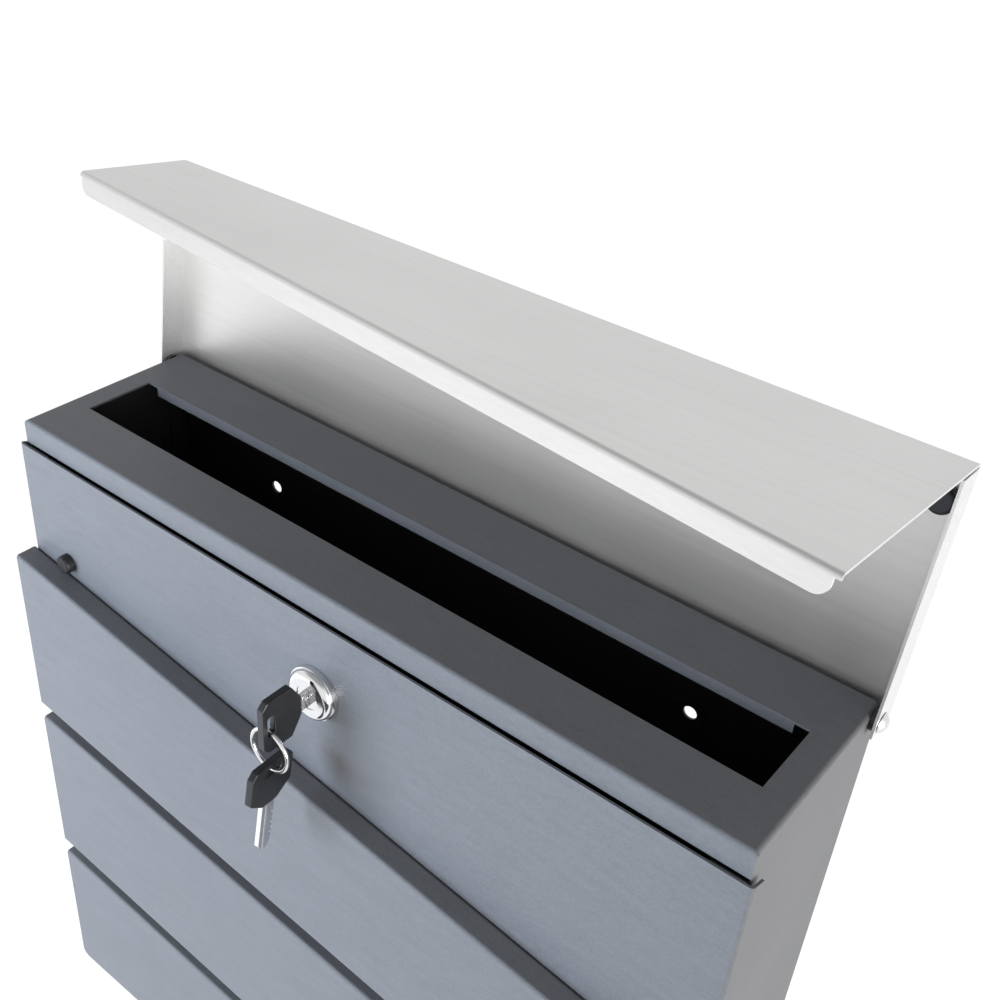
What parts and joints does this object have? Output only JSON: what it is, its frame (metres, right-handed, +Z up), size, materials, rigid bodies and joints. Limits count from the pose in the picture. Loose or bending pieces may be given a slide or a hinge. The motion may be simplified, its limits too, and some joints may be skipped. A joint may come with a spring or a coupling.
{
  "type": "wall mounted mailbox",
  "caption": "Wall letter box of folded steel with a top letter slot, a hinged rain lid, and a locking fold-down front door with slanting slats.",
  "frame": {"origin": "centre of the rectangle of the four wall screw holes, on the outer face of the back panel", "axes": "+X to the right seen from the front, +Y into the wall, +Z up"},
  "size_m": [0.375, 0.1461, 0.4714],
  "materials": {
    "powder_coated_steel": "fine textured matt powder coat",
    "brushed_stainless": "brushed",
    "bright_chrome": "polished",
    "black_plastic": "satin",
    "black_rubber": "matt"
  },
  "bodies": {
    "body": {"body_hood": "powder_coated_steel", "back_panel": "powder_coated_steel", "floor_plate": "powder_coated_steel", "lid_rivet_left": "brushed_stainless", "lid_rivet_right": "brushed_stainless", "lid_washer_left": "black_plastic", "lid_washer_right": "black_plastic", "door_rivet_left": "brushed_stainless", "door_rivet_right": "brushed_stainless", "door_washer_left": "black_plastic", "door_washer_right": "black_plastic"},
    "lid": {"lid_shell": "brushed_stainless", "lid_buffer_left": "black_rubber", "lid_buffer_right": "black_rubber"},
    "door": {"door_panel": "powder_coated_steel", "slat_upper": "powder_coated_steel", "slat_middle": "powder_coated_steel", "slat_lower": "powder_coated_steel", "door_buffer_left": "black_rubber", "door_buffer_right": "black_rubber", "lock_housing": "bright_chrome", "lock_nut": "bright_chrome"},
    "lock_core": {"lock_plug": "bright_chrome", "lock_cam": "bright_chrome", "cam_bolt": "bright_chrome"},
    "key": {"key_blade": "bright_chrome", "key_head": "black_plastic"},
    "ring": {"key_ring": "bright_chrome"},
    "spare_key": {"spare_key_blade": "bright_chrome", "spare_key_head": "black_plastic"}
  },
  "joints": [
    {"name": "lid_hinge", "type": "hinge", "parent": "body", "child": "lid", "pos_m": [0, -0.0042, 0.1678], "axis": [-1, 0, 0], "range_deg": [-68, 0]},
    {"name": "door_hinge", "type": "hinge", "parent": "body", "child": "door", "pos_m": [0, -0.08, -0.1868], "axis": [1, 0, 0], "range_deg": [0, 95]},
    {"name": "lock_turn", "type": "hinge", "parent": "door", "child": "lock_core", "pos_m": [0, -0.0913, 0.1256], "axis": [0, 1, 0], "range_deg": [0, 90]},
    {"name": "key_pull", "type": "slide", "parent": "lock_core", "child": "key", "axis": [0, -1, 0], "range_m": [0, 0.024]},
    {"name": "ring_swing", "type": "hinge", "parent": "key", "child": "ring", "pos_m": [0, -0.1166, 0.1219], "axis": [-1, 0, 0], "range_deg": [-4, 60]},
    {"name": "spare_key_swing", "type": "hinge", "parent": "ring", "child": "spare_key", "pos_m": [0, -0.1166, 0.1029], "axis": [-1, 0, 0], "range_deg": [-12, 36]}
  ]
}
